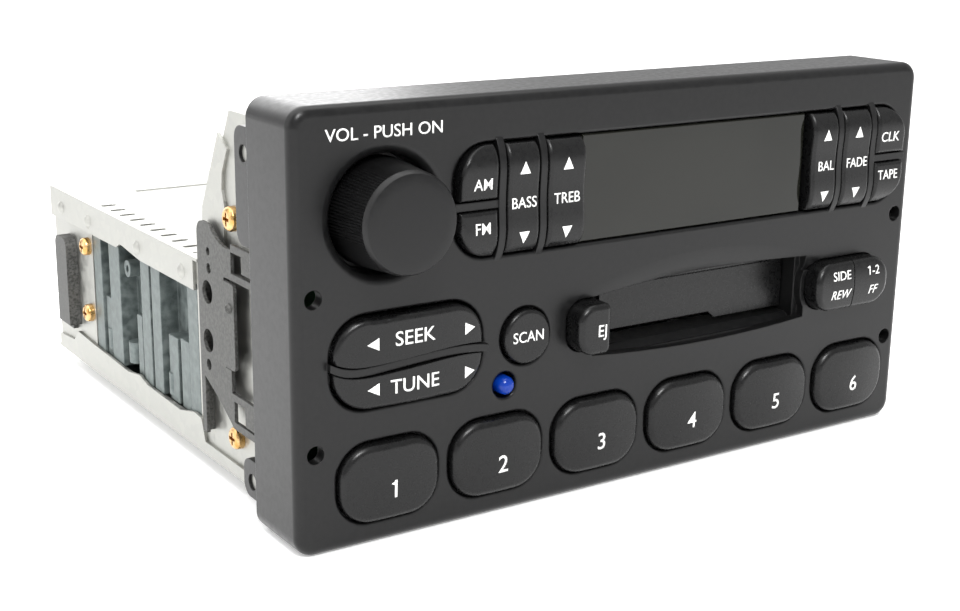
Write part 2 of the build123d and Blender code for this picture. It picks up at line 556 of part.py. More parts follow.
# ------------------------------------------------------------------ sheet-metal body
def front_frame():
    """The upright frame behind the face: two side plates, a top and a sloping back, welded."""
    half = BODY_W / 2 - SHEET
    inner = half - SHEET
    side = ((18.0, -44.4), (18.0, 44.0), (42.5, 44.0), (59.0, 13.0), (59.0, 4.3), (BODY_FRONT, 4.3),
            (BODY_FRONT, -44.4))
    plate = side_prism(side, -half, -inner)
    for y in (29.5, 32.5):
        plate += block(-half - 0.3, -inner, y, y + 1.0, -24.0, 4.0)
    for _, _, hole_z in SNAP_TABS:
        plate += rod_x(-92.2, -half + 0.1, SNAP_Y, hole_z, 1.95)
    top = block(-inner, inner, 18.0, 41.8, 44.0 - SHEET, 44.0)
    slope = ((41.9, 44.0), (42.5, 44.0), (59.0, 13.0), (59.0, 5.3), (58.2, 5.3), (58.2, 12.8), (41.9, 43.4))
    return Compound([plate, mirrored(plate), top, side_prism(slope, -inner, inner)])


def ear_outline():
    """The chassis ear that laps the front frame, as (depth, height)."""
    return ((62.0, 3.4), (58.5, 13.8), (57.6, 19.0), (47.4, 38.3), (42.5, 35.0), (45.6, 29.0), (46.0, 25.0),
            (44.6, 21.0), (45.5, 16.0), (46.5, 3.4))


def chassis():
    """The welded body: side walls, rear wall, ears at the front and the heat sink's opening."""
    half = BODY_W / 2 - SHEET
    low, high = BODY_BOTTOM + SHEET, BODY_TOP - SHEET
    back = BODY_BACK - SHEET
    wall = block(-half, -half + SHEET, BODY_FRONT + 0.05, back - SHEET, low, high)
    window = block(-half - 1, -half + SHEET + 1, 64.5, 140.5, -38.5, -2.0)
    rear = block(-half, half, back - SHEET, back, low, high)
    rear -= rod_y(ANTENNA_X, ANTENNA_Z, 5.6, back - 3, back + 1)
    for x_low, x_high in SOCKETS:
        rear -= block(x_low - 0.2, x_high + 0.2, back - 3, back + 1, SOCKET_Z[0] - 0.2, SOCKET_Z[1] + 0.2)
    ear = side_prism(ear_outline(), -half - SHEET, -half)
    ear += block(-half - SHEET, -half, 46.5, 60.0, 3.4, 5.4)
    return Compound([wall - window, mirrored(wall), rear, ear, mirrored(ear)])


def dimple(y, z, x, radius=2.0):
    """A shallow pressed dimple on the outside of the left flange."""
    cap = Pos(x + 1.6, y, z) * Sphere(math.hypot(radius, 1.6))
    return cap & block(x - 2, x, y - 3, y + 3, z - 3, z + 3)


def top_cover():
    """The lid: top sheet with vent slots and beads, side flanges with dimples and a rear flange."""
    half = BODY_W / 2
    under = BODY_TOP - SHEET
    sheet = block(-half, half, BODY_FRONT + 3, BODY_BACK, under, BODY_TOP)
    for i in range(VENTS):
        vent = Pos(VENT_X, VENT_Y0 + VENT_PITCH * i) * SlotOverall(4.4, 1.9)
        sheet -= extrude(Pos(0, 0, under - 1) * vent, SHEET + 2)
    for x, y in ((-86.4, 69.0), (-84.9, 67.2)):
        sheet -= rod_z(x, y, 0.6, 0, BODY_TOP + 1)
    for side in (-1, 1):
        sheet -= Pos(side * half, BODY_FRONT + 3, BODY_TOP) * Box(2 * SHEET + 0.2, 2 * EAR_NOTCH, 2 * SHEET + 1)
    for y in (96.0, 151.0):
        sheet += block(-70.0, 60.0, y, y + 1.2, BODY_TOP - 0.1, BODY_TOP + 0.25)
    flange = ((65.0, under), (65.0, -3.5), (100.9, -3.5), (114.0, -2.0), (116.0, -2.0), (118.7, -3.4),
              (BODY_BACK - SHEET, -4.0), (BODY_BACK - SHEET, under))
    left = side_prism(flange, -half, -half + SHEET)
    for y in (72.6, 102.8, 140.9, 164.0):
        left += dimple(y, -0.3, -half)
    rear = block(-half, half, BODY_BACK - SHEET, BODY_BACK, -4.0, under)
    return Compound([sheet, left, mirrored(left), rear])


def bottom_cover():
    """The floor of the body with its stepped side flanges."""
    half = BODY_W / 2
    flange = ((38.0, BODY_BOTTOM), (38.0, -42.2), (61.0, -42.2), (63.0, -36.6), (67.5, -36.2), (77.0, -38.4),
              (99.7, -38.0), (105.0, -36.8), (113.9, -38.1), (143.0, -37.2), (154.8, -36.6), (158.9, -40.2),
              (172.0, -41.3), (172.0, BODY_BOTTOM))
    left = side_prism(flange, -half, -half + SHEET)
    floor = block(-half, half, 38.0, BODY_BACK - SHEET, BODY_BOTTOM, BODY_BOTTOM + SHEET)
    for x in (-74.0, 80.0):
        for y in (68.0, 164.0):
            floor += rod_z(x, y, 2.5, BODY_BOTTOM + 0.1, MAIN_BOARD_Z)
    return floor + left + mirrored(left)


def heat_sink():
    """The ribbed casting that fills the left wall's opening and cools the amplifiers."""
    plate_x = -83.0
    sink = block(plate_x, plate_x + 3.0, 65.0, 140.0, BODY_BOTTOM + SHEET, 3.4)
    low, high = -38.2, -2.4
    for y_low, y_high in ((134.0, 140.0), (119.5, 127.5), (97.5, 103.5), (90.0, 96.0), (65.2, 71.5)):
        sink += block(-88.0, plate_x, y_low, y_high, low, high)
    for y_low, y_high, top in ((128.6, 133.0, -20.6), (105.5, 109.0, -20.4), (80.5, 86.5, -20.4),
                               (73.0, 78.5, -19.6)):
        sink += block(-87.4, plate_x, y_low, y_high, low, top)
    for y, z_low in ((115.0, -36.0), (102.0, -37.0), (86.0, -37.0), (70.5, -37.0), (131.0, -36.0)):
        sink += rod_z(-85.2, y, 2.6, z_low, z_low + 6.0)
    sink += rod_x(-87.2, plate_x, 115.5, -9.0, 2.4) - rod_x(-88, -84, 115.5, -9.0, 1.0)
    return sink


def clip_outline():
    """The spring clip's plate in side view, as (depth, height)."""
    return make_face([
        Polyline((57.0, -37.4), (57.0, 13.5)), ThreePointArc((57.0, 13.5), (56.0, 15.6), (53.6, 16.4)),
        Line((53.6, 16.4), (49.5, 16.2)), ThreePointArc((49.5, 16.2), (43.8, 12.9), (37.7, 12.6)),
        Polyline((37.7, 12.6), (37.7, 13.8), (22.0, 13.8), (22.0, -31.4), (38.5, -31.4)),
        ThreePointArc((38.5, -31.4), (46.8, -26.4), (54.8, -22.5)),
        Polyline((54.8, -22.5), (54.8, -37.4), (57.0, -37.4)),
    ])


def mounting_clip():
    """The left spring clip: holed plate, arms running forward, release tongues and a rear return."""
    x_low, x_high = -91.0, -90.1
    clip = extrude(Plane.YZ.offset(x_low) * clip_outline(), x_high - x_low)

    def window(y_low, y_high, z_low, z_high):
        return block(x_low - 1, x_high + 1, y_low, y_high, z_low, z_high)

    clip -= window(20.0, 37.7, 6.9, 12.0)
    clip -= window(20.0, 42.0, -17.0, 5.2)
    clip -= window(20.0, 39.0, -22.6, -17.0)
    clip -= window(20.0, 38.0, -29.6, -24.4)
    for y, z, radius in ((51.7, -0.7, 2.9), (52.0, -12.9, 2.9), (50.5, 5.4, 1.3), (50.6, 9.6, 1.0),
                         (52.2, -19.0, 1.4)):
        clip -= rod_x(x_low - 1, x_high + 1, y, z, radius)
    for z_low, z_high in ((7.3, 12.1), (-29.6, -24.3)):
        tongue = block(x_low, x_high, 22.0, 32.0, z_low + 0.6, z_high)
        clip += tongue
    clip += block(x_low, -BODY_W / 2 + SHEET, 56.2, 57.0, -37.4, 3.0)
    for z_low, z_high in ((-31.4, -29.8), (5.3, 6.8)):
        clip += block(x_low, -BODY_W / 2 + SHEET, 22.0, 23.0, z_low, z_high)
    return clip


def latch():
    """The left sprung latch bar between the clip's arms, with the pip that locks in the dash frame."""
    bar = block(-91.6, -90.8, 35.4, 41.2, -16.4, 4.6)
    bar = fillet(bar.edges().filter_by(Axis.X).group_by(Axis.Y)[0], 1.0)
    barrel = rod_z(-90.6, 41.2, 0.7, -16.4, 4.6)
    pip = Pos(-91.4, 38.0, -1.5) * Sphere(1.3)
    return bar + barrel + (pip & block(-93.0, -91.2, 34, 42, -4, 2))


def rear_guides():
    """Plastic guide blocks near the back of both side walls."""
    guide = block(-91.8, -88.25, 153.5, 163.0, -34.2, -7.6)
    guide = fillet(guide.edges().filter_by(Axis.X).group_by(Axis.Z)[-1], 3.0)
    guide += block(-89.6, -88.25, 157.0, 160.0, -36.2, -34.2)
    return guide + mirrored(guide)


def pan_screw(y, z, x, radius, height=2.2):
    """A pan-headed screw driven in from the left, with a cross recess."""
    head = rod_x(x - height, x, y, z, radius)
    head = fillet(head.faces().sort_by(Axis.X)[0].edges(), 1.2)
    for turn in (0, 90):
        slot = Pos(x - height, y, z) * Rot(turn, 0, 0) * Box(2.0, 0.8, 3.2)
        head -= slot
    return head


def side_screws():
    """The screws along both side walls."""
    places = ((41.0, 19.0, 3.0), (41.5, -35.0, 2.8), (143.8, -8.2, 2.6), (144.0, -28.2, 2.6))
    screws = Part()
    for y, z, radius in places:
        screw = pan_screw(y, z, -BODY_W / 2 + SHEET, radius)
        screws += screw + mirrored(screw)
    return screws


# ------------------------------------------------------------------ electronics
def main_board():
    """The large board near the floor of the body."""
    return block(-78.0, 85.0, 62.0, 170.0, MAIN_BOARD_Z, MAIN_BOARD_Z + MAIN_BOARD_T)


def board_components():
    """Tall parts on the main board: tuner can, capacitors, coils and chips."""
    top = MAIN_BOARD_Z + MAIN_BOARD_T
    parts = block(-60.0, -20.0, 136.0, 166.0, top, top + 14.0)
    for x, y, radius, height in ((-70, 160, 5, 16), (-70, 147, 5, 16), (-66, 130, 4, 12), (-5, 158, 6, 14),
                                 (12, 146, 4, 11), (78, 156, 5, 9), (-40, 70, 4, 10), (-30, 70, 4, 10)):
        parts += rod_z(x, y, radius, top, top + height)
    for x, y, w, d in ((-50, 110, 18, 18), (-20, 108, 12, 20), (10, 90, 14, 14), (-45, 86, 10, 16),
                       (30, 118, 10, 18)):
        parts += block(x - w / 2, x + w / 2, y - d / 2, y + d / 2, top, top + 2.4)
    return parts


def amplifier_chips():
    """The two power amplifiers pressed against the heat sink."""
    chips = Part()
    for y in (84.0, 118.0):
        chips += block(-80.0, -75.6, y - 10, y + 10, -33.0, -21.0)
        for i in range(8):
            leg_y = y - 8.75 + 2.5 * i
            chips += block(-77.9, -77.4, leg_y - 0.3, leg_y + 0.3, MAIN_BOARD_Z + MAIN_BOARD_T, -33.0)
    return chips


def socket(x_low, x_high, z_low, z_high, columns):
    """A shrouded connector with two rows of pins, open to the rear."""
    front, back = 160.0, BODY_BACK + 5.5
    shell = block(x_low, x_high, front, back, z_low, z_high)
    shell -= block(x_low + 1.4, x_high - 1.4, front + 8.0, back + 1, z_low + 1.4, z_high - 1.4)
    shell += block(x_low + 2, x_high - 2, front, front + 6.0, MAIN_BOARD_Z + MAIN_BOARD_T, z_low)
    for i in range(columns):
        x = x_low + (x_high - x_low) * (i + 1) / (columns + 1)
        for z in (z_low + 5.0, z_high - 5.0):
            shell += block(x - 0.5, x + 0.5, front + 7.5, front + 11.0, z - 0.5, z + 0.5)
    return shell


def rear_connectors():
    """The power and speaker connectors in the rear wall."""
    columns = (8, 5)
    return Compound([socket(*x, *SOCKET_Z, n) for x, n in zip(SOCKETS, columns)])


def antenna_socket():
    """The round aerial socket with its flange inside the rear wall."""
    outer = rod_y(ANTENNA_X, ANTENNA_Z, 5.5, 167.0, BODY_BACK + 7.0)
    outer += rod_y(ANTENNA_X, ANTENNA_Z, 7.5, BODY_BACK - 2 * SHEET - 1.0, BODY_BACK - 2 * SHEET)
    return outer - rod_y(ANTENNA_X, ANTENNA_Z, 4.6, 169.5, BODY_BACK + 8.0)


def rear_stud():
    """The support stud: hexagonal base on the rear wall and a round end."""
    x, z = -8.0, -23.0
    base = front_prism(Pos(x, z) * RegularPolygon(6.5, 6), BODY_BACK - SHEET, BODY_BACK + 4.0)
    return base + rod_y(x, z, 3.0, BODY_BACK + 3.0, REAR_END)


# ------------------------------------------------------------------ tape deck
def cassette_carrier():
    """The channel that takes the cassette: floor, roof, side walls and back, folded from sheet."""
    x_low, x_high, y_low, y_high = CARRIER
    wall = 1.0
    floor = block(x_low, x_high, y_low, y_high, CARRIER_LOW, CARRIER_LOW + wall)
    roof = block(x_low, x_high, y_low, y_high, CARRIER_TOP - wall, CARRIER_TOP)
    well = block(45.0, x_high + 1, 34.0, 116.0, CARRIER_LOW - 2, CARRIER_TOP + 2)
    for sign in (-1, 1):
        y = CASSETTE_MID_Y + sign * SPINDLE_HALF_GAP
        floor -= rod_z(SPINDLE_X, y, 6.5, CARRIER_LOW - 1, CARRIER_LOW + 2)
    roof -= block(x_low + 16, 45.0, y_low + 14, y_high - 14, CARRIER_TOP - 2, CARRIER_TOP + 1)
    low, high = CARRIER_LOW + wall, CARRIER_TOP - wall
    left = block(x_low, x_low + wall, y_low, y_high - wall, low, high)
    right_front = block(x_high - wall, x_high, y_low, 34.0, low, high)
    right_rear = block(x_high - wall, x_high, 116.0, y_high - wall, low, high)
    back = block(x_low, x_high, y_high - wall, y_high, low, high)
    return Compound([floor - well, roof - well, left, right_front, right_rear, back])


def capstan_y(sign):
    """Depth of the forward (-1) or reverse (+1) capstan."""
    return CASSETTE_MID_Y + sign * CAPSTAN_HALF_GAP


def deck_frame():
    """The deck's base plate with bearing holes, its side walls, feet and motor posts, riveted on."""
    x_low, x_high, y_low, y_high = DECK
    plate_low = DECK_TOP - DECK_T
    plate = block(x_low, x_high, y_low, y_high, plate_low, DECK_TOP)
    for sign in (-1, 1):
        plate -= rod_z(CAPSTAN_X, capstan_y(sign), CAPSTAN_R + 0.05, plate_low - 1, DECK_TOP + 1)
        spindle_y = CASSETTE_MID_Y + sign * SPINDLE_HALF_GAP
        plate -= rod_z(SPINDLE_X, spindle_y, 1.55, plate_low - 1, DECK_TOP + 1)
    pieces = [plate]
    for x in (x_low, x_high - DECK_T):
        pieces.append(block(x, x + DECK_T, y_low + 36, y_high, DECK_TOP, 2.0))
    for x in (x_low + 5, x_high - 5):
        for y in (66.0, y_high - 5):
            pieces.append(rod_z(x, y, 3.0, MAIN_BOARD_Z + MAIN_BOARD_T, plate_low))
    for angle in (20, 140, 260):
        x = MOTOR_X + 10.0 * math.cos(math.radians(angle))
        y = MOTOR_Y + 10.0 * math.sin(math.radians(angle))
        pieces.append(rod_z(x, y, 1.2, MOTOR_TOP, plate_low))
    return Compound(pieces)


def flywheel(sign):
    """A flywheel under the deck plate with its capstan standing up through it."""
    y = capstan_y(sign)
    wheel = rod_z(CAPSTAN_X, y, FLYWHEEL_R, FLYWHEEL_LOW, FLYWHEEL_TOP)
    wheel -= rod_z(CAPSTAN_X, y, FLYWHEEL_R - 3.0, FLYWHEEL_LOW - 1, FLYWHEEL_LOW + 1.6)
    wheel += rod_z(CAPSTAN_X, y, 3.0, FLYWHEEL_LOW - 1.0, FLYWHEEL_TOP)
    return wheel + rod_z(CAPSTAN_X, y, CAPSTAN_R, FLYWHEEL_LOW, SPINDLE_TOP)


def deck_motor():
    """The flat motor that hangs from the deck's posts."""
    return rod_z(MOTOR_X, MOTOR_Y, MOTOR_R, MOTOR_LOW, MOTOR_TOP)


def motor_pulley():
    """The flanged pulley on the motor's shaft."""
    pulley = rod_z(MOTOR_X, MOTOR_Y, PULLEY_R, MOTOR_TOP + 0.2, FLYWHEEL_TOP + 0.8)
    for low in (MOTOR_TOP + 0.2, FLYWHEEL_TOP + 0.2):
        pulley += rod_z(MOTOR_X, MOTOR_Y, PULLEY_R + 1.4, low, low + 0.6)
    return pulley


def belt_edge(offset):
    """The belt's closed line at a distance outside (+) or inside (-) its middle line.

    The belt wraps the forward flywheel and the pulley, and its back runs on the reverse flywheel.
    """
    middle = BELT_T / 2 + 0.06
    wheels = [(CAPSTAN_X, capstan_y(-1), FLYWHEEL_R + middle + offset, 1),
              (MOTOR_X, MOTOR_Y, PULLEY_R + middle + offset, 1),
              (CAPSTAN_X, capstan_y(1), FLYWHEEL_R + middle - offset, -1)]
    touches = []
    for i, (x1, y1, r1, s1) in enumerate(wheels):
        x2, y2, r2, s2 = wheels[(i + 1) % len(wheels)]
        dx, dy = x2 - x1, y2 - y1
        reach = math.hypot(dx, dy)
        lean = math.asin((s1 * r1 - s2 * r2) / reach)
        normal = math.atan2(dy, dx) - math.pi / 2 + lean
        cos_n, sin_n = math.cos(normal), math.sin(normal)
        touches.append(((x1 + s1 * r1 * cos_n, y1 + s1 * r1 * sin_n),
                        (x2 + s2 * r2 * cos_n, y2 + s2 * r2 * sin_n)))
    edges = []
    for i, (x, y, radius, sign) in enumerate(wheels):
        arrive, leave = touches[i - 1][1], touches[i][0]
        start = math.atan2(arrive[1] - y, arrive[0] - x)
        end = math.atan2(leave[1] - y, leave[0] - x)
        sweep = (end - start) * sign % (2 * math.pi)
        half_way = start + sign * sweep / 2
        middle_point = (x + radius * math.cos(half_way), y + radius * math.sin(half_way))
        edges.append(ThreePointArc(arrive, middle_point, leave))
        edges.append(Line(*touches[i]))
    return make_face(edges)


def drive_belt():
    """The flat belt round the pulley and both flywheels."""
    ring = belt_edge(BELT_T / 2) - belt_edge(-BELT_T / 2)
    return extrude(Pos(0, 0, FLYWHEEL_LOW + 0.4) * ring, 2.6)


def reel_spindle(sign):
    """A reel spindle: turntable, splined hub and the pin that turns in the deck plate."""
    y = CASSETTE_MID_Y + sign * SPINDLE_HALF_GAP
    spindle = rod_z(SPINDLE_X, y, 7.0, DECK_TOP + 0.15, DECK_TOP + 0.75)
    spindle += rod_z(SPINDLE_X, y, 2.6, DECK_TOP + 0.3, SPINDLE_TOP)
    for i in range(3):
        fin = Pos(SPINDLE_X, y, SPINDLE_TOP - 3.0) * Rot(0, 0, 120 * i) * Pos(2.9, 0, 0) * Box(1.6, 1.2, 4.0)
        spindle += fin
    return spindle + rod_z(SPINDLE_X, y, 1.5, DECK_TOP - DECK_T, DECK_TOP + 0.4)


def head_carriage():
    """The sliding plate with the tape head and the posts of both pinch rollers."""
    low = DECK_TOP + 0.1
    plate = block(58.5, 74.0, 38.0, 112.0, low, low + 1.0)
    head = block(58.2, 66.0, CASSETTE_MID_Y - 6, CASSETTE_MID_Y + 6, low + 0.5, -8.5)
    head = fillet(head.edges().filter_by(Axis.Z).group_by(Axis.X)[0], 2.0)
    carriage = plate + head
    for sign in (-1, 1):
        y = capstan_y(sign)
        carriage += block(PINCH_X - 2, 74.0, y - 3, y + 3, low, low + 1.0)
        carriage += rod_z(PINCH_X, y, 1.0, low, -10.0)
    return carriage


def pinch_roller(sign):
    """A rubber pinch roller turning on its post."""
    y = capstan_y(sign)
    roller = rod_z(PINCH_X, y, PINCH_R, -18.6, -10.6)
    return roller - rod_z(PINCH_X, y, 1.05, -19.0, -10.0)


# ------------------------------------------------------------------ assembly
PARTS = {
    "faceplate": faceplate,
    "display_lens": display_lens,
    "volume_knob": volume_knob,
    "volume_shaft": volume_shaft,
    "encoder_plunger": encoder_plunger,
    "encoder_body": encoder_body,
    **{f"preset_button_{n}": (lambda n=n: preset_button(n)) for n in range(1, 7)},
    **end_keys(),
    "scan_button": scan_button,
    "bass_rocker": lambda: window_rocker(RIB_X[0], RIB_X[1]),
    "treble_rocker": lambda: lens_side_rocker(RIB_X[1], LENS_RIB_X[0]),
    "balance_rocker": lambda: lens_side_rocker(RIB_X[2], LENS_RIB_X[1]),
    "fade_rocker": lambda: window_rocker(RIB_X[2], RIB_X[3]),
    "seek_rocker": lambda: tuning_rocker(True),
    "tune_rocker": lambda: tuning_rocker(False),
    "eject_button": eject_button,
    "rewind_button": lambda: wind_button(True),
    "fast_forward_button": lambda: wind_button(False),
    "cassette_door": cassette_door,
    "indicator_led": indicator_led,
    "keypad_board": keypad_board,
    "push_switches": push_switches,
    "display_module": display_module,
    "front_frame": front_frame,
    "chassis": chassis,
    "top_cover": top_cover,
    "bottom_cover": bottom_cover,
    "heat_sink": heat_sink,
    "left_clip": mounting_clip,
    "right_clip": lambda: mirrored(mounting_clip()),
    "left_latch": latch,
    "right_latch": lambda: mirrored(latch()),
    "rear_guides": rear_guides,
    "side_screws": side_screws,
    "main_board": main_board,
    "board_components": board_components,
    "amplifier_chips": amplifier_chips,
    "rear_connectors": rear_connectors,
    "antenna_socket": antenna_socket,
    "rear_stud": rear_stud,
    "deck_frame": deck_frame,
    "cassette_carrier": cassette_carrier,
    "deck_motor": deck_motor,
    "motor_pulley": motor_pulley,
    "flywheel_forward": lambda: flywheel(-1),
    "flywheel_reverse": lambda: flywheel(1),
    "drive_belt": drive_belt,
    "supply_spindle": lambda: reel_spindle(-1),
    "takeup_spindle": lambda: reel_spindle(1),
    "head_carriage": head_carriage,
    "pinch_roller_forward": lambda: pinch_roller(-1),
    "pinch_roller_reverse": lambda: pinch_roller(1),
}

os.makedirs("parts", exist_ok=True)
to_row_frame = Pos(0, -MID_DEPTH, FACE_H / 2)
for node, make in PARTS.items():
    export_step(to_row_frame * make(), f"parts/{node}.step")
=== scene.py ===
"""A dashboard car radio with a cassette slot, dressed and lit on a pale floor.

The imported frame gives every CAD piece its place. The classes below dress those pieces, add the
knurled volume knob and the printed legends, and set up the camera and the studio.
"""

import json
import logging
import math
from dataclasses import dataclass, field
from enum import Enum

import bpy
from mathutils import Matrix, Vector

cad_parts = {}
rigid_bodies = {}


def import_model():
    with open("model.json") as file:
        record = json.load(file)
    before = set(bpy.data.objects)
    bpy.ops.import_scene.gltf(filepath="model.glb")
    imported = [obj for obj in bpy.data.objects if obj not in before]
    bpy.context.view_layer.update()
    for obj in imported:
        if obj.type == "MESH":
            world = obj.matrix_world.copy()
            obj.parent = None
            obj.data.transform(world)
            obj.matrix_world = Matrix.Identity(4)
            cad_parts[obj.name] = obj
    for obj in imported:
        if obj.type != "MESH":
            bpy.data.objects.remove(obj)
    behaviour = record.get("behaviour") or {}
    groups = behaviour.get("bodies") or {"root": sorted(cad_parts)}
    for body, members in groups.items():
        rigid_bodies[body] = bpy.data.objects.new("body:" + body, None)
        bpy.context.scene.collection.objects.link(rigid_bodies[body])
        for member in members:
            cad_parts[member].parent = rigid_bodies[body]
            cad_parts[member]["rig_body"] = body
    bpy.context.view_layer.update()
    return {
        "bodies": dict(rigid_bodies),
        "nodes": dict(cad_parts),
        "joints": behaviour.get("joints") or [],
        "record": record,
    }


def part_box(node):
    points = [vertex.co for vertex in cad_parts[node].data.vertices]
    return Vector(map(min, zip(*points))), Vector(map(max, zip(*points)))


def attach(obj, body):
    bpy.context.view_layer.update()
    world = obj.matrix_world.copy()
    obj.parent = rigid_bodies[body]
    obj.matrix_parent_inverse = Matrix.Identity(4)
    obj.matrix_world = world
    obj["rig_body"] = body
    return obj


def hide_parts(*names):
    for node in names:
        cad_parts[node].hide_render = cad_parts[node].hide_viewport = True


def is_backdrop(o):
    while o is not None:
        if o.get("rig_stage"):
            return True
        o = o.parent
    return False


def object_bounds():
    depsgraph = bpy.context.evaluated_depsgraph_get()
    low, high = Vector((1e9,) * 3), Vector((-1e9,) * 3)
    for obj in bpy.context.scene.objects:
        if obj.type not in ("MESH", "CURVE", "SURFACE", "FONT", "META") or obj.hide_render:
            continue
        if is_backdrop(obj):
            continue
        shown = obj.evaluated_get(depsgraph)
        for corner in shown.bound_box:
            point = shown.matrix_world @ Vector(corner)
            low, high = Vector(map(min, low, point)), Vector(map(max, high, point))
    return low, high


LOG = logging.getLogger("car_radio")

MM = 0.001

COAT_ROUGHNESS = 0.06
PATTERN_DETAIL = 6.0
FINE_DETAIL = 3.0
FINE_SHARE = 6.0
BRUSHED_STRETCH = (0.03, 1.0, 1.0)
SPANGLE_STOPS = (0.1, 0.9)
NOISE_STOPS = (0.36, 0.64)
EDGE_SAMPLES = 4


class Grain(Enum):
    """How a finish varies over its surface."""

    MOULDED = "fine moulded texture"
    SPANGLED = "zinc crystals"
    CAST = "pitted casting skin"
    MOTTLED = "blotched phosphate or chromate"
    BRUSHED = "fine lines along X"
    PLAIN = "almost even"


class Arrow(Enum):
    """The way a printed arrow points, as a turn in the face's plane in degrees."""

    RIGHT = 0.0
    UP = 90.0
    LEFT = 180.0
    DOWN = 270.0


@dataclass(frozen=True)
class Finish:
    """One surface finish, made as a node material on Object coordinates."""

    name: str
    colour: tuple[float, float, float]
    second: tuple[float, float, float]
    roughness: tuple[float, float]
    metallic: float = 0.0
    grain: Grain = Grain.MOULDED
    scale: float = 900.0
    bump: float = 0.1
    depth: float = 0.00003
    coat: float = 0.0
    emission: float = 0.0
    edge_radius: float = 0.0
    specular: float = 0.5

    def material(self) -> bpy.types.Material:
        """Makes the material, or returns the one already made.

        Returns:
            The node material for this finish.
        """
        own_name = "dressed_" + self.name
        made = bpy.data.materials.get(own_name)
        if made is not None:
            return made
        material = bpy.data.materials.new(own_name)
        material.use_nodes = True
        nodes = material.node_tree.nodes
        shader = nodes["Principled BSDF"]
        shader.inputs["Metallic"].default_value = self.metallic
        shader.inputs["Specular IOR Level"].default_value = self.specular
        shader.inputs["Coat Weight"].default_value = self.coat
        shader.inputs["Coat Roughness"].default_value = COAT_ROUGHNESS
        if self.emission:
            shader.inputs["Emission Color"].default_value = (*self.colour, 1.0)
            shader.inputs["Emission Strength"].default_value = self.emission
        place = nodes.new("ShaderNodeTexCoord").outputs["Object"]
        pattern = self._pattern(material, place)
        self._ramp(material, pattern, (self.colour, self.second), shader.inputs["Base Color"])
        rough = tuple((value,) * 3 for value in self.roughness)
        self._ramp(material, pattern, rough, shader.inputs["Roughness"])
        self._relief(material, place, pattern, shader)
        return material

    def _pattern(self, material: bpy.types.Material,
                 place: bpy.types.NodeSocket) -> bpy.types.NodeSocket:
        """Adds the texture that the colour and roughness vary with.

        Args:
            material: The material being made.
            place: The Object coordinates.

        Returns:
            The texture's value, from 0 to 1.
        """
        nodes, links = material.node_tree.nodes, material.node_tree.links
        if self.grain is Grain.SPANGLED:
            texture = nodes.new("ShaderNodeTexVoronoi")
            texture.inputs["Scale"].default_value = self.scale
            links.new(place, texture.inputs["Vector"])
            grey = nodes.new("ShaderNodeRGBToBW")
            links.new(texture.outputs["Color"], grey.inputs["Color"])
            return grey.outputs["Val"]
        texture = nodes.new("ShaderNodeTexNoise")
        texture.inputs["Scale"].default_value = self.scale
        texture.inputs["Detail"].default_value = PATTERN_DETAIL
        if self.grain is Grain.BRUSHED:
            stretch = nodes.new("ShaderNodeMapping")
            stretch.inputs["Scale"].default_value = BRUSHED_STRETCH
            links.new(place, stretch.inputs["Vector"])
            place = stretch.outputs["Vector"]
        links.new(place, texture.inputs["Vector"])
        return texture.outputs["Fac"]

    def _ramp(self, material: bpy.types.Material, pattern: bpy.types.NodeSocket,
              ends: tuple, target: bpy.types.NodeSocket) -> None:
        """Spreads two values over the pattern and feeds a shader socket.

        Args:
            material: The material being made.
            pattern: The value to spread over.
            ends: The colours at the pattern's low and high ends.
            target: The socket that takes the result.
        """
        ramp = material.node_tree.nodes.new("ShaderNodeValToRGB")
        stops = SPANGLE_STOPS if self.grain is Grain.SPANGLED else NOISE_STOPS
        for stop, where, colour in zip(ramp.color_ramp.elements, stops, ends):
            stop.position = where
            stop.color = (*colour, 1.0)
        material.node_tree.links.new(pattern, ramp.inputs["Fac"])
        material.node_tree.links.new(ramp.outputs["Color"], target)

    def _relief(self, material: bpy.types.Material, place: bpy.types.NodeSocket,
                pattern: bpy.types.NodeSocket, shader: bpy.types.Node) -> None:
        """Adds the fine relief, over softened edges where the finish has them.

        Args:
            material: The material being made.
            place: The Object coordinates.
            pattern: The value that the coarse relief follows.
            shader: The shader whose normal is set.
        """
        nodes, links = material.node_tree.nodes, material.node_tree.links
        relief = nodes.new("ShaderNodeBump")
        relief.inputs["Strength"].default_value = self.bump
        relief.inputs["Distance"].default_value = self.depth
        if self.grain is Grain.MOULDED:
            fine = nodes.new("ShaderNodeTexNoise")
            fine.inputs["Scale"].default_value = self.scale * FINE_SHARE
            fine.inputs["Detail"].default_value = FINE_DETAIL
            links.new(place, fine.inputs["Vector"])
            pattern = fine.outputs["Fac"]
        links.new(pattern, relief.inputs["Height"])
        if self.edge_radius:
            edges = nodes.new("ShaderNodeBevel")
            edges.samples = EDGE_SAMPLES
            edges.inputs["Radius"].default_value = self.edge_radius
            links.new(edges.outputs["Normal"], relief.inputs["Normal"])
        links.new(relief.outputs["Normal"], shader.inputs["Normal"])


FACE_PLASTIC = Finish(
    "satin_charcoal", (0.0045, 0.0045, 0.0047), (0.0065, 0.0065, 0.0066), (0.28, 0.36),
    scale=700.0, bump=0.25, edge_radius=0.0004, specular=0.28)
KEY_PLASTIC = Finish(
    "satin_charcoal_keys", (0.0030, 0.0030, 0.0032), (0.0045, 0.0045, 0.0046), (0.25, 0.33),
    scale=800.0, bump=0.08, edge_radius=0.0003, specular=0.30)
KNOB_PLASTIC = Finish(
    "satin_charcoal_knob", (0.0035, 0.0035, 0.0037), (0.0050, 0.0050, 0.0052), (0.34, 0.44),
    scale=800.0, bump=0.1, specular=0.28)
PRINT_WHITE = Finish(
    "white_print", (0.80, 0.80, 0.78), (0.86, 0.86, 0.84), (0.5, 0.6), scale=1500.0)

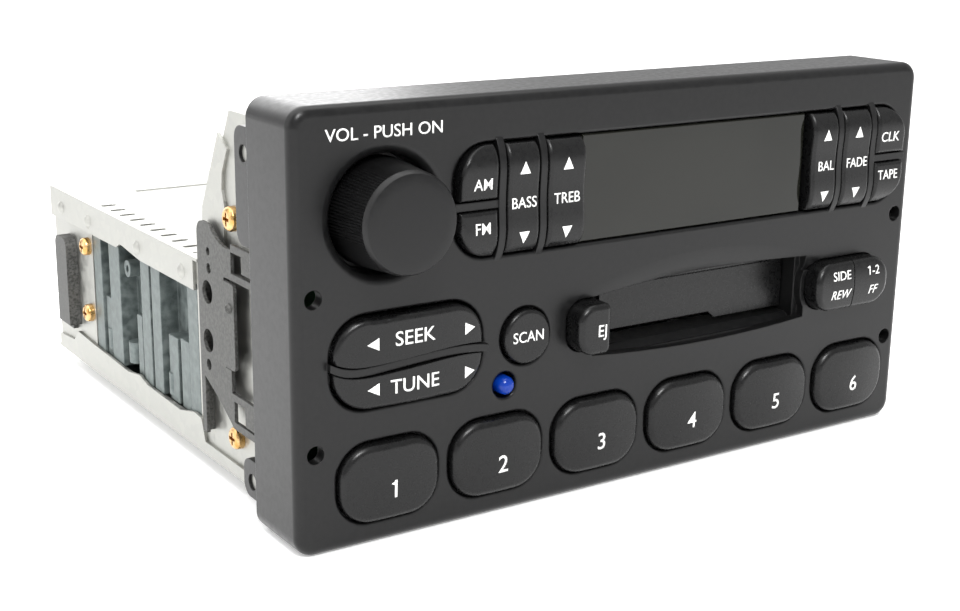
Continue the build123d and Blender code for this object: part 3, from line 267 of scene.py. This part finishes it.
FINISHES = {
    "satin_black_plastic": KEY_PLASTIC,
    "smoked_lens": Finish(
        "smoked_lens", (0.0060, 0.0063, 0.0045), (0.0085, 0.0088, 0.0066), (0.05, 0.09),
        grain=Grain.PLAIN, scale=40.0, bump=0.02, specular=0.32, edge_radius=0.0002),
    "blue_lamp": Finish(
        "blue_lamp", (0.001, 0.022, 0.21), (0.002, 0.032, 0.27), (0.12, 0.18),
        grain=Grain.PLAIN, scale=300.0, bump=0.02, specular=0.3, emission=0.1),
    "zinc_sheet": Finish(
        "zinc_sheet", (0.34, 0.34, 0.32), (0.42, 0.42, 0.395), (0.40, 0.58),
        metallic=1.0, grain=Grain.SPANGLED, scale=420.0, bump=0.06, edge_radius=0.0003),
    "zinc_casting": Finish(
        "zinc_casting", (0.08, 0.098, 0.096), (0.16, 0.185, 0.18), (0.42, 0.60),
        metallic=0.5, grain=Grain.CAST, scale=420.0, bump=0.5, depth=0.00012,
        edge_radius=0.0005),
    "phosphated_spring_steel": Finish(
        "phosphated_spring_steel", (0.045, 0.045, 0.043), (0.12, 0.12, 0.115), (0.46, 0.66),
        metallic=0.7, grain=Grain.MOTTLED, scale=1400.0, bump=0.25, depth=0.00005,
        edge_radius=0.0002),
    "gold_chromate": Finish(
        "gold_chromate", (0.50, 0.29, 0.09), (0.68, 0.45, 0.22), (0.22, 0.36),
        metallic=1.0, grain=Grain.MOTTLED, scale=500.0, edge_radius=0.0002),
    "circuit_board": Finish(
        "circuit_board", (0.02, 0.10, 0.04), (0.04, 0.16, 0.06), (0.3, 0.45),
        scale=300.0, coat=0.3),
    "component_black": Finish(
        "component_black", (0.018, 0.018, 0.018), (0.03, 0.03, 0.03), (0.4, 0.55),
        bump=0.3, edge_radius=0.0003),
    "grey_plastic": Finish(
        "grey_plastic", (0.40, 0.41, 0.40), (0.46, 0.47, 0.46), (0.38, 0.5),
        bump=0.2, edge_radius=0.0004),
    "steel": Finish(
        "steel", (0.52, 0.52, 0.52), (0.62, 0.62, 0.61), (0.24, 0.38),
        metallic=1.0, grain=Grain.BRUSHED, scale=1600.0, bump=0.15, edge_radius=0.0002),
    "rubber_black": Finish(
        "rubber_black", (0.014, 0.014, 0.014), (0.022, 0.022, 0.022), (0.6, 0.75),
        scale=1200.0, bump=0.4),
    "display_glass": Finish(
        "display_glass", (0.010, 0.014, 0.014), (0.014, 0.020, 0.020), (0.05, 0.09),
        grain=Grain.PLAIN, scale=60.0, bump=0.02, coat=0.5),
}


def deselect_all() -> None:
    """Leaves object mode with nothing selected."""
    if bpy.context.object is not None and bpy.context.object.mode != "OBJECT":
        bpy.ops.object.mode_set(mode="OBJECT")
    bpy.ops.object.select_all(action="DESELECT")


def settle(piece: bpy.types.Object, name: str, finish: Finish) -> bpy.types.Object:
    """Names a new piece, moves its place into its mesh and gives it a finish.

    Args:
        piece: The new mesh object, which is the active one.
        name: The piece's name.
        finish: The finish to give it.

    Returns:
        The same object.
    """
    piece.name = name
    piece.data.name = name
    bpy.ops.object.transform_apply(location=True, rotation=True, scale=True)
    piece.data.materials.clear()
    piece.data.materials.append(finish.material())
    return piece


@dataclass
class FaceFrame:
    """Where the face's centre lies in the shared frame, and offsets from it."""

    crown: float = 2.2 * MM
    centre: Vector = field(init=False)

    def __post_init__(self) -> None:
        """Reads the face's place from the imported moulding."""
        low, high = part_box("faceplate")
        self.centre = Vector(((low.x + high.x) / 2, low.y + self.crown, (low.z + high.z) / 2))

    def at(self, x: float, y: float, z: float) -> Vector:
        """Turns millimetres from the face's centre into a place in the frame.

        Args:
            x: Distance to the right.
            y: Depth behind the face.
            z: Height above the face's middle.

        Returns:
            The place in metres.
        """
        return self.centre + Vector((x, y, z)) * MM


@dataclass
class Casework:
    """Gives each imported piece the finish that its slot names."""

    face_nodes: tuple[str, ...] = ("faceplate",)

    def dress(self, frame: dict) -> None:
        """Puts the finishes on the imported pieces.
        """
        for part in frame["record"]["subparts"]:
            name, slot = part["node"], part["material_slot"]
            finish = FACE_PLASTIC if name in self.face_nodes else FINISHES[slot]
            node = frame["nodes"][name]
            node.data.materials.clear()
            node.data.materials.append(finish.material())
            LOG.info("dressed %s in %s", name, finish.name)


@dataclass
class VolumeKnob:
    """The volume knob, with fine ribs round its skirt and a smooth domed end."""

    ribs: int = 104
    rib_depth: float = 0.966
    rib_margin: float = 0.1 * MM
    skirt_from: float = 0.10
    skirt_to: float = 0.84
    front_share: float = 0.92
    edge_rings: tuple[tuple[float, float], ...] = (
        (0.90, 0.995), (0.96, 0.975), (0.99, 0.945), (1.0, 0.90))
    dome_rings: tuple[float, ...] = (0.72, 0.5, 0.28, 0.1)
    dome_rise: float = 0.25 * MM
    disc_depth: float = 0.4 * MM
    smooth_degrees: float = 28.0
    axis: Vector = field(init=False)
    front: float = field(init=False)
    back: float = field(init=False)
    back_radius: float = field(init=False)
    front_radius: float = field(init=False)

    def __post_init__(self) -> None:
        """Reads the knob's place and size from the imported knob."""
        low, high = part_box("volume_knob")
        self.axis = Vector(((low.x + high.x) / 2, 0.0, (low.z + high.z) / 2))
        self.front, self.back = low.y + self.dome_rise, high.y
        self.back_radius = (high.x - low.x) / 2
        self.front_radius = self.back_radius * self.front_share

    def build(self) -> bpy.types.Object:
        """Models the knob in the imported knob's box.

        Returns:
            The knob, riding on its body.
        """
        deselect_all()
        bpy.ops.mesh.primitive_cylinder_add(
            vertices=self.ribs * 2, radius=self.back_radius, depth=self.disc_depth,
            end_fill_type="NGON", rotation=(math.pi / 2, 0.0, 0.0),
            location=(self.axis.x, self.back - self.disc_depth / 2, self.axis.z))
        knob = bpy.context.object
        settle(knob, "knurled_volume_knob", KNOB_PLASTIC)
        self._draw_out(knob)
        self._cut_ribs(knob)
        bpy.ops.object.shade_smooth_by_angle(angle=math.radians(self.smooth_degrees))
        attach(knob, "volume_knob")
        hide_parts("volume_knob")
        LOG.info("built the volume knob with %d ribs", self.ribs)
        return knob

    def _draw_out(self, knob: bpy.types.Object) -> None:
        """Extrudes the front face along the skirt, round the edge and over the dome.

        Args:
            knob: The knob, a thin disc so far.
        """
        bpy.ops.object.mode_set(mode="EDIT")
        bpy.ops.mesh.select_all(action="DESELECT")
        bpy.ops.mesh.select_mode(type="FACE")
        bpy.ops.object.mode_set(mode="OBJECT")
        front = min(knob.data.polygons, key=lambda face: face.center.y)
        front.select = True
        bpy.ops.object.mode_set(mode="EDIT")
        length = self.back - self.front
        radius, depth = self.back_radius, self.back - self.disc_depth
        taper = self.front_radius / self.back_radius
        lines = [(self.skirt_from, 1.0), (self.skirt_to, taper)]
        lines += [(along, inward * taper) for along, inward in self.edge_rings]
        for along, share in lines:
            target = self.back - along * length
            self._ring(target - depth, share * self.back_radius / radius, depth)
            radius, depth = share * self.back_radius, target
        for share in self.dome_rings:
            target_radius = share * self.front_radius
            rise = self.dome_rise * (1 - share * share)
            target = self.front - rise
            self._ring(target - depth, target_radius / radius, depth)
            radius, depth = target_radius, target
        bpy.ops.mesh.select_all(action="SELECT")
        bpy.ops.mesh.normals_make_consistent(inside=False)
        bpy.ops.object.mode_set(mode="OBJECT")

    def _ring(self, step: float, share: float, depth: float) -> None:
        """Extrudes the selected face by a step along the axis and resizes it.

        Args:
            step: The move along Y.
            share: The size relative to the last ring.
            depth: The last ring's place along Y.
        """
        bpy.ops.mesh.extrude_region_move(TRANSFORM_OT_translate={"value": (0.0, step, 0.0)})
        bpy.ops.transform.resize(
            value=(share, 1.0, share), center_override=(self.axis.x, depth, self.axis.z))

    def _cut_ribs(self, knob: bpy.types.Object) -> None:
        """Draws every second line of the skirt in, which leaves ribs between.

        Args:
            knob: The drawn-out knob.
        """
        length = self.back - self.front
        near = self.back - self.skirt_to * length - self.rib_margin
        far = self.back - self.skirt_from * length + self.rib_margin
        step = math.pi / self.ribs
        bpy.ops.object.mode_set(mode="EDIT")
        bpy.ops.mesh.select_mode(type="VERT")
        bpy.ops.mesh.select_all(action="DESELECT")
        bpy.ops.object.mode_set(mode="OBJECT")
        for vertex in knob.data.vertices:
            turn = math.atan2(vertex.co.z - self.axis.z, vertex.co.x - self.axis.x)
            if near < vertex.co.y < far and round(turn / step) % 2:
                vertex.select = True
        bpy.ops.object.mode_set(mode="EDIT")
        bpy.ops.transform.resize(value=(self.rib_depth, 1.0, self.rib_depth),
                                 center_override=(self.axis.x, self.back, self.axis.z))
        bpy.ops.object.mode_set(mode="OBJECT")


@dataclass(frozen=True)
class Mark:
    """A printed word or number: its text, place in millimetres, node, height and proportions."""

    text: str
    x: float
    z: float
    node: str
    height: float = 1.9
    slant: float = 0.0
    squeeze: float = 1.0


@dataclass
class Legends:
    """The generic words, numbers and arrows printed on the keys and the face."""

    face: FaceFrame
    thickness: float = 0.04 * MM
    boldness: float = 0.006
    size_per_height: float = 1.38
    curve_steps: int = 4
    start_depth: float = -14.0
    merge_distance: float = 0.002 * MM
    cut_step: float = 0.4 * MM
    digit_height: float = 4.4
    digit_z: float = -37.1
    digit_shift: float = 0.5
    preset_count: int = 6
    preset_first: float = -70.9
    preset_pitch: float = 29.2
    arrow_size: float = 1.75
    arrow_width: float = 0.94
    arrow_length: float = 1.08

    def marks(self) -> list[Mark]:
        """Lists every word and number.

        Returns:
            The marks, with the node each is printed on.
        """
        marks = [
            Mark("VOL - PUSH ON", -71.3, 43.5, "faceplate", 2.8, squeeze=1.06),
            Mark("AM", -47.7, 30.1, "am_button", 2.7, squeeze=0.95),
            Mark("FM", -47.8, 20.1, "fm_button", 2.7, squeeze=0.95),
            Mark("BASS", -36.55, 25.0, "bass_rocker", 2.6, squeeze=0.92),
            Mark("TREB", -24.5, 25.0, "treble_rocker", 2.6, squeeze=0.92),
            Mark("BAL", 59.1, 25.0, "balance_rocker", 2.6, squeeze=0.95),
            Mark("FADE", 70.45, 25.0, "fade_rocker", 2.6, squeeze=0.92),
            Mark("CLK", 82.4, 30.9, "clock_button", 2.7),
            Mark("TAPE", 82.5, 20.7, "tape_button", 2.6, squeeze=0.92),
            Mark("SEEK", -65.4, -2.0, "seek_rocker", 3.4, squeeze=1.05),
            Mark("TUNE", -65.4, -12.9, "tune_rocker", 3.4, squeeze=1.05),
            Mark("SCAN", -33.9, -7.2, "scan_button", 2.7, squeeze=0.92),
            Mark("EJ", -15.3, -7.6, "eject_button", 3.0, squeeze=0.95),
            Mark("SIDE", 65.4, -4.7, "rewind_button", 2.5),
            Mark("REW", 65.1, -9.8, "rewind_button", 2.5, 0.25, 0.95),
            Mark("1-2", 77.3, -4.5, "fast_forward_button", 2.5),
            Mark("FF", 77.2, -9.8, "fast_forward_button", 2.5, 0.25),
        ]
        for number in range(1, self.preset_count + 1):
            x = self.preset_first + self.preset_pitch * (number - 1) + self.digit_shift
            marks.append(Mark(str(number), x, self.digit_z, f"preset_button_{number}",
                              self.digit_height))
        return marks

    def arrows(self) -> list[tuple[Arrow, float, float, str, float]]:
        """Lists every arrow, and the small flag at the top of each printed numeral one.

        Returns:
            The way each points, its place in millimetres, its node and its size.
        """
        size = self.arrow_size
        places = []
        for node, x in (("bass_rocker", -36.55), ("treble_rocker", -24.5),
                        ("balance_rocker", 58.9), ("fade_rocker", 70.45)):
            places.append((Arrow.UP, x, 32.7, node, size))
            places.append((Arrow.DOWN, x, 17.5, node, size))
        for node, z in (("seek_rocker", -2.4), ("tune_rocker", -12.7)):
            places.append((Arrow.LEFT, -75.4, z, node, size))
            places.append((Arrow.RIGHT, -50.9, z, node, size))
        places.append((Arrow.LEFT, -70.95, -35.5, "preset_button_1", 0.6))
        places.append((Arrow.LEFT, 75.35, -3.5, "fast_forward_button", 0.36))
        return places

    def build(self, frame: dict) -> None:
        """Prints every mark and arrow on its node.
        """
        for mark in self.marks():
            word = self._word(mark)
            self._press_on(word, frame["nodes"][mark.node])
            LOG.info("printed %s on %s", mark.text, mark.node)
        for number, (arrow, x, z, node, size) in enumerate(self.arrows()):
            shape = self._arrow(arrow, x, z, size, f"arrow_{number}")
            self._press_on(shape, frame["nodes"][node])
            LOG.info("printed an arrow on %s", node)

    def _word(self, mark: Mark) -> bpy.types.Object:
        """Makes a flat word in front of its node.

        Args:
            mark: The word and its place.

        Returns:
            The word as a flat mesh.
        """
        deselect_all()
        bpy.ops.object.text_add()
        word = bpy.context.object
        word.data.body = mark.text
        word.data.align_x = "CENTER"
        word.data.align_y = "CENTER"
        word.data.size = mark.height * self.size_per_height * MM
        word.data.shear = mark.slant
        word.data.offset = self.boldness * mark.height * MM
        word.data.resolution_u = self.curve_steps
        bpy.ops.object.convert(target="MESH")
        word = bpy.context.object
        word.scale = (mark.squeeze, 1.0, 1.0)
        word.rotation_euler = (math.pi / 2, 0.0, 0.0)
        word.location = self.face.at(mark.x, self.start_depth, mark.z)
        name = mark.node + "_legend_" + "".join(c for c in mark.text.lower() if c.isalnum())
        return settle(word, name, PRINT_WHITE)

    def _arrow(self, arrow: Arrow, x: float, z: float, size: float,
               name: str) -> bpy.types.Object:
        """Makes a small flat triangle in front of its node.

        Args:
            arrow: The way it points.
            x: Its place to the right, in millimetres.
            z: Its height, in millimetres.
            size: The distance from its middle to its point, in millimetres.
            name: The piece's name.

        Returns:
            The triangle as a flat mesh.
        """
        deselect_all()
        bpy.ops.mesh.primitive_circle_add(
            vertices=3, radius=size * MM, fill_type="NGON",
            location=self.face.at(x, self.start_depth, z),
            rotation=(math.pi / 2, -math.radians(arrow.value - 90.0), 0.0))
        triangle = bpy.context.object
        triangle.scale = (self.arrow_width, self.arrow_length, 1.0)
        return settle(triangle, name, PRINT_WHITE)

    def _press_on(self, print_piece: bpy.types.Object, node: bpy.types.Object) -> None:
        """Cuts a flat print into strips, lays it on a node, thickens it and makes it ride there.

        Args:
            print_piece: The flat mesh.
            node: The CAD node that it is printed on.
        """
        bpy.ops.object.mode_set(mode="EDIT")
        bpy.ops.mesh.select_all(action="SELECT")
        bpy.ops.mesh.remove_doubles(threshold=self.merge_distance)
        heights = [corner[2] for corner in print_piece.bound_box]
        lowest = min(heights)
        cuts = math.ceil((max(heights) - lowest) / self.cut_step)
        for cut in range(1, cuts):
            height = lowest + cut * self.cut_step
            bpy.ops.mesh.select_all(action="SELECT")
            bpy.ops.mesh.bisect(plane_co=(0.0, 0.0, height), plane_no=(0.0, 0.0, 1.0))
        bpy.ops.mesh.select_all(action="SELECT")
        bpy.ops.mesh.quads_convert_to_tris()
        bpy.ops.object.mode_set(mode="OBJECT")
        wrap = print_piece.modifiers.new("wrap", "SHRINKWRAP")
        wrap.target = node
        wrap.wrap_method = "PROJECT"
        wrap.use_project_y = True
        wrap.use_positive_direction = True
        wrap.use_negative_direction = False
        bpy.ops.object.modifier_apply(modifier="wrap")
        wall = print_piece.modifiers.new("wall", "SOLIDIFY")
        wall.thickness = self.thickness * 2
        wall.offset = 0.0
        bpy.ops.object.modifier_apply(modifier="wall")
        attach(print_piece, node["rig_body"])


@dataclass
class Studio:
    """The camera, a pale floor and soft lights."""

    face: FaceFrame
    eye: tuple[float, float, float] = (-231.57, -278.04, 93.36)
    yaw: float = 33.622
    pitch: float = 15.323
    roll: float = 0.728
    lens: float = 57.0
    sensor_width: float = 36.0
    near_clip: float = 0.01
    middle_depth: float = 80.0
    floor_size: float = 8.0
    floor_gap: float = 0.2 * MM
    surround_strength: float = 0.75

    def build(self) -> None:
        """Makes the camera, the floor and the lights."""
        self._camera()
        self._floor()
        middle = self.face.at(0.0, self.middle_depth, 0.0)
        self._softbox("overhead", middle + Vector((-0.1, 0.15, 1.1)), middle, 1.4, 16.0)
        self._softbox("left_key", middle + Vector((-1.2, 0.35, 0.6)), middle, 1.3, 7.5)
        self._softbox("high_front", middle + Vector((-0.36, -0.95, 1.0)), middle, 0.4, 16.0)
        self._softbox("rear_wash", middle + Vector((0.3, 2.6, 0.9)), middle, 2.4, 55.0)
        self._surroundings()
        LOG.info("set up the camera, the floor and the lights")

    def _camera(self) -> None:
        """Adds the camera from its place, turn, tilt and roll."""
        yaw, pitch, roll = (math.radians(a) for a in (self.yaw, self.pitch, self.roll))
        ahead = Vector((math.sin(yaw) * math.cos(pitch), math.cos(yaw) * math.cos(pitch),
                        -math.sin(pitch)))
        right = Vector((math.cos(yaw), -math.sin(yaw), 0.0))
        up = right.cross(ahead)
        turned_right = math.cos(roll) * right + math.sin(roll) * up
        turned_up = -math.sin(roll) * right + math.cos(roll) * up
        data = bpy.data.cameras.new("camera")
        data.lens = self.lens
        data.sensor_width = self.sensor_width
        data.clip_start = self.near_clip
        camera = bpy.data.objects.new("camera", data)
        turn = Matrix((turned_right, turned_up, -ahead)).transposed().to_4x4()
        camera.matrix_world = Matrix.Translation(self.face.at(*self.eye)) @ turn
        bpy.context.scene.collection.objects.link(camera)
        bpy.context.scene.camera = camera

    def _floor(self) -> None:
        """Adds the pale floor under the lowest point of the radio."""
        low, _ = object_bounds()
        deselect_all()
        bpy.ops.mesh.primitive_plane_add(
            size=self.floor_size, location=(0.0, 0.0, low[2] - self.floor_gap))
        floor = bpy.context.object
        finish = Finish("pale_floor", (0.86, 0.86, 0.86), (0.88, 0.88, 0.88), (0.8, 0.9),
                        grain=Grain.PLAIN, scale=4.0, bump=0.0, emission=0.3)
        settle(floor, "floor", finish)
        floor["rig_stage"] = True

    def _softbox(self, name: str, place: Vector, aim: Vector, size: float, power: float) -> None:
        """Adds a square area light aimed at a point.

        Args:
            name: The light's name.
            place: Where it stands.
            aim: What it points at.
            size: The length of its side, in metres.
            power: Its power in watts.
        """
        data = bpy.data.lights.new(name, "AREA")
        data.shape = "SQUARE"
        data.size = size
        data.energy = power
        light = bpy.data.objects.new(name, data)
        light.location = place
        light.rotation_euler = (aim - place).to_track_quat("-Z", "Y").to_euler()
        bpy.context.scene.collection.objects.link(light)

    def _surroundings(self) -> None:
        """Sets an even white surround."""
        world = bpy.data.worlds.new("white_surround")
        world.use_nodes = True
        background = world.node_tree.nodes["Background"]
        background.inputs["Color"].default_value = (1.0, 1.0, 1.0, 1.0)
        background.inputs["Strength"].default_value = self.surround_strength
        bpy.context.scene.world = world
        bpy.context.scene.view_settings.view_transform = "Standard"


def main() -> None:
    """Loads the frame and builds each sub-assembly."""
    logging.basicConfig(level=logging.INFO, format="%(name)s: %(message)s")
    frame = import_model()
    face = FaceFrame()
    Casework().dress(frame)
    VolumeKnob().build()
    Legends(face).build(frame)
    Studio(face).build()


if __name__ == "__main__":
    main()
